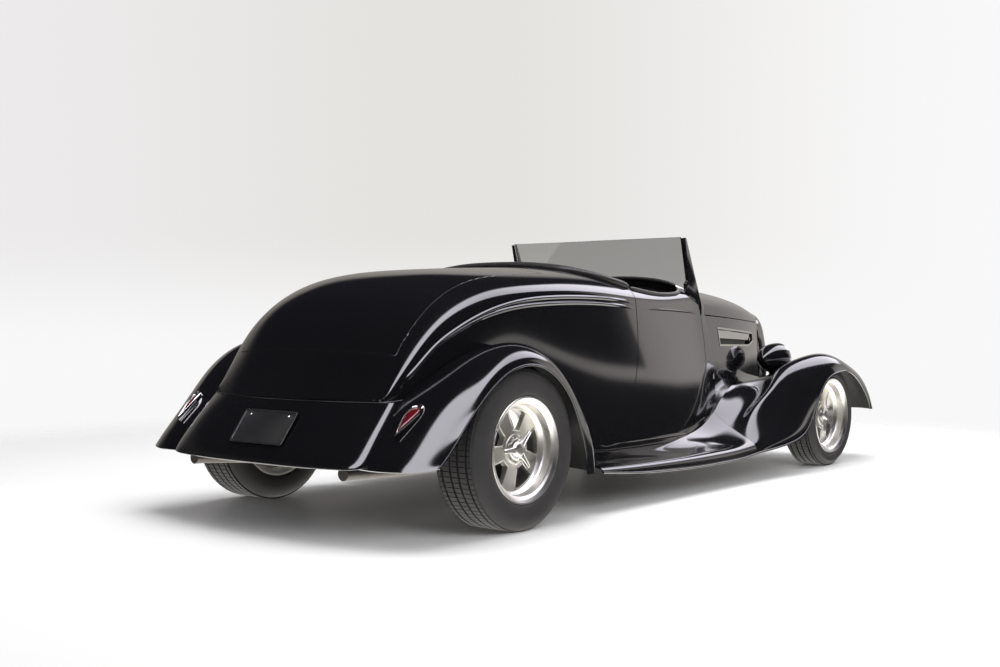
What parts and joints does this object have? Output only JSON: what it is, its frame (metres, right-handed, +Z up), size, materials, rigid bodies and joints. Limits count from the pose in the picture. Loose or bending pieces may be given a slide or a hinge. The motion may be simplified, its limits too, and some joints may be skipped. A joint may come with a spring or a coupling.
{
  "type": "hot rod",
  "caption": "Open two-seat hot rod with full fenders, raked windshield, vee grille, rear-hinged doors, deck lid and five-spoke wheels.",
  "frame": {"origin": "on the ground under the middle of the car's bounding box", "axes": "+X to the front, +Y to the left, +Z up"},
  "size_m": [4.1839, 1.6722, 1.228],
  "materials": {
    "gloss_black_paint": "deep gloss black",
    "chassis_black": "satin black",
    "engine_grey": "plain grey",
    "black_leather": "soft black",
    "interior_black": "satin black",
    "tinted_glass": "grey tint",
    "chrome_trim": "polished",
    "lamp_glass": "clear",
    "red_lens": "dark red",
    "plate_dark": "blank dark plate",
    "exhaust_black": "dark",
    "brake_steel": "machined",
    "tyre_rubber": "matt black rubber",
    "wheel_alloy": "satin cast centre, polished rim"
  },
  "bodies": {
    "chassis": {"body_tub": "gloss_black_paint", "dashboard": "interior_black", "engine_block": "engine_grey", "exhaust_pipes": "exhaust_black", "floor_pan": "chassis_black", "frame_rails": "chassis_black", "front_apron": "gloss_black_paint", "front_axle": "chassis_black", "front_fenders": "gloss_black_paint", "front_spring": "chassis_black", "fuel_tank": "chassis_black", "grille_bars": "chrome_trim", "grille_shell": "gloss_black_paint", "headlamp_buckets": "gloss_black_paint", "headlamp_lenses": "lamp_glass", "hood_sides": "gloss_black_paint", "licence_plate": "plate_dark", "radiator": "chassis_black", "rear_axle": "chassis_black", "rear_fenders": "gloss_black_paint", "rear_pan": "gloss_black_paint", "rear_suspension": "chassis_black", "running_boards": "gloss_black_paint", "seat_back": "black_leather", "seat_cushion": "black_leather", "steering_column": "chassis_black", "taillamp_bezels": "chrome_trim", "taillamp_lenses": "red_lens", "vent_trims": "chrome_trim", "windshield_glass": "tinted_glass", "windshield_posts": "gloss_black_paint"},
    "hood_top": {"hood_top": "gloss_black_paint"},
    "deck_lid": {"deck_lid": "gloss_black_paint"},
    "door_left": {"door_left": "gloss_black_paint"},
    "door_right": {"door_right": "gloss_black_paint"},
    "steering_wheel": {"steering_wheel": "interior_black"},
    "knuckle_left": {"knuckle_left": "brake_steel"},
    "knuckle_right": {"knuckle_right": "brake_steel"},
    "tie_rod": {"tie_rod": "chassis_black"},
    "front_left_wheel": {"wheel_front_left": "wheel_alloy", "tyre_front_left": "tyre_rubber"},
    "front_right_wheel": {"wheel_front_right": "wheel_alloy", "tyre_front_right": "tyre_rubber"},
    "rear_left_wheel": {"wheel_rear_left": "wheel_alloy", "tyre_rear_left": "tyre_rubber"},
    "rear_right_wheel": {"wheel_rear_right": "wheel_alloy", "tyre_rear_right": "tyre_rubber"}
  },
  "joints": [
    {"name": "steer", "type": "hinge", "parent": "chassis", "child": "knuckle_left", "pos_m": [1.44695, 0.64, 0.28], "axis": [0, 0, 1], "range_deg": [-26, 26]},
    {"name": "steer_right", "type": "hinge", "parent": "chassis", "child": "knuckle_right", "pos_m": [1.44695, -0.64, 0.28], "axis": [0, 0, 1], "range_deg": [-26, 26]},
    {"name": "tie_rod_swing", "type": "hinge", "parent": "knuckle_left", "child": "tie_rod", "pos_m": [1.31695, 0.6, 0.206], "axis": [0, 0, 1], "range_deg": [-26, 26]},
    {"name": "steering_wheel_turn", "type": "hinge", "parent": "chassis", "child": "steering_wheel", "pos_m": [0.03474, 0.33, 0.77171], "axis": [-0.8538, 0, 0.5206], "range_deg": [-364, 364]},
    {"name": "front_left_spin", "type": "hinge", "parent": "knuckle_left", "child": "front_left_wheel", "pos_m": [1.44695, 0.69, 0.28], "axis": [0, 1, 0], "continuous": true},
    {"name": "front_right_spin", "type": "hinge", "parent": "knuckle_right", "child": "front_right_wheel", "pos_m": [1.44695, -0.69, 0.28], "axis": [0, 1, 0], "continuous": true},
    {"name": "rear_left_spin", "type": "hinge", "parent": "chassis", "child": "rear_left_wheel", "pos_m": [-1.39805, 0.712, 0.316], "axis": [0, 1, 0], "continuous": true},
    {"name": "rear_right_spin", "type": "hinge", "parent": "chassis", "child": "rear_right_wheel", "pos_m": [-1.39805, -0.712, 0.316], "axis": [0, 1, 0], "continuous": true},
    {"name": "door_left_swing", "type": "hinge", "parent": "chassis", "child": "door_left", "pos_m": [-0.46405, 0.646, 0.614], "axis": [0, 0, 1], "range_deg": [0, 65]},
    {"name": "door_right_swing", "type": "hinge", "parent": "chassis", "child": "door_right", "pos_m": [-0.46405, -0.646, 0.614], "axis": [0, 0, 1], "range_deg": [-65, 0]},
    {"name": "deck_lid_lift", "type": "hinge", "parent": "chassis", "child": "deck_lid", "pos_m": [-0.83105, 0, 1.072], "axis": [0, 1, 0], "range_deg": [0, 60]},
    {"name": "hood_top_lift", "type": "hinge", "parent": "chassis", "child": "hood_top", "pos_m": [0.46295, 0, 1.024], "axis": [0, 1, 0], "range_deg": [-50, 0]}
  ],
  "couplings": [
    {"joint": "steer_right", "follows": "steer", "ratio": 1},
    {"joint": "tie_rod_swing", "follows": "steer", "ratio": -1},
    {"joint": "steering_wheel_turn", "follows": "steer", "ratio": 14}
  ]
}
